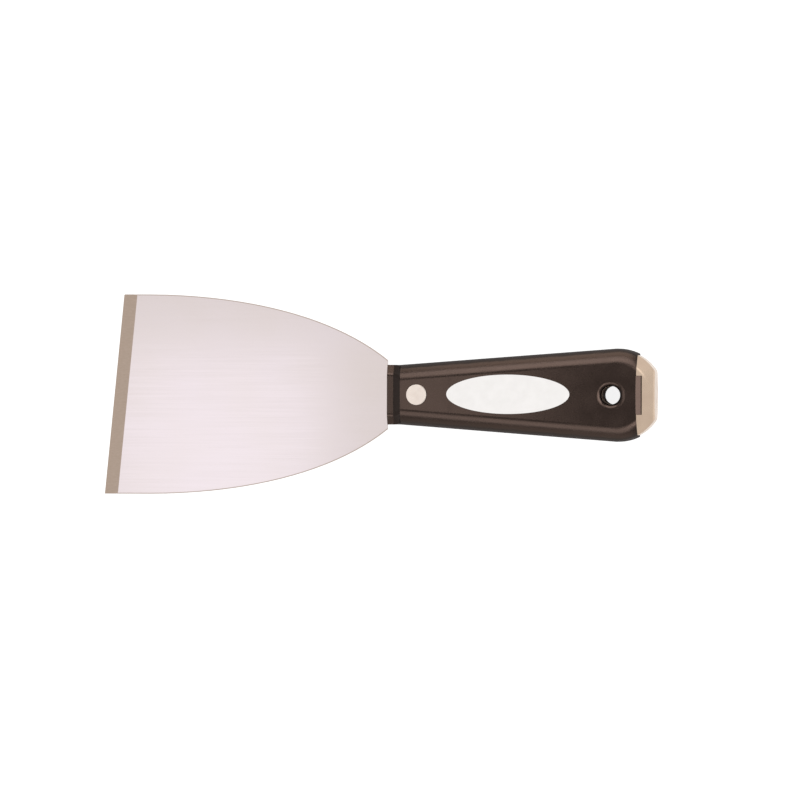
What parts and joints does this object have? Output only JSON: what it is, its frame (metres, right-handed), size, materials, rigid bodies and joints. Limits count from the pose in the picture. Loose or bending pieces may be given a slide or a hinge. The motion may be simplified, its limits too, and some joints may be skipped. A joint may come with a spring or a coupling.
{
  "type": "stiff joint knife",
  "caption": "Stiff steel joint knife with a skewed single-bevel blade on a full tang, riveted two-scale nylon handle, hang hole and drawn steel hammer cap.",
  "frame": {"origin": "centre of the hang hole, in the middle of the thickness", "axes": "-X along the tool to the blade, +X to the hammer cap, +Z out of the face with the ground bevel"},
  "size_m": [0.2116, 0.0762, 0.0218],
  "materials": {
    "blade_steel": "satin, fine grain along the tool",
    "nylon": "black glass-filled nylon, satin",
    "rivet_steel": "nickel-plated, satin",
    "cap_steel": "nickel-plated, satin, warm in tone"
  },
  "bodies": {
    "root": {"blade": "blade_steel", "front_scale": "nylon", "back_scale": "nylon", "rivet_pin": "rivet_steel", "rivet_tube": "rivet_steel", "hammer_cap": "cap_steel"}
  },
  "joints": []
}
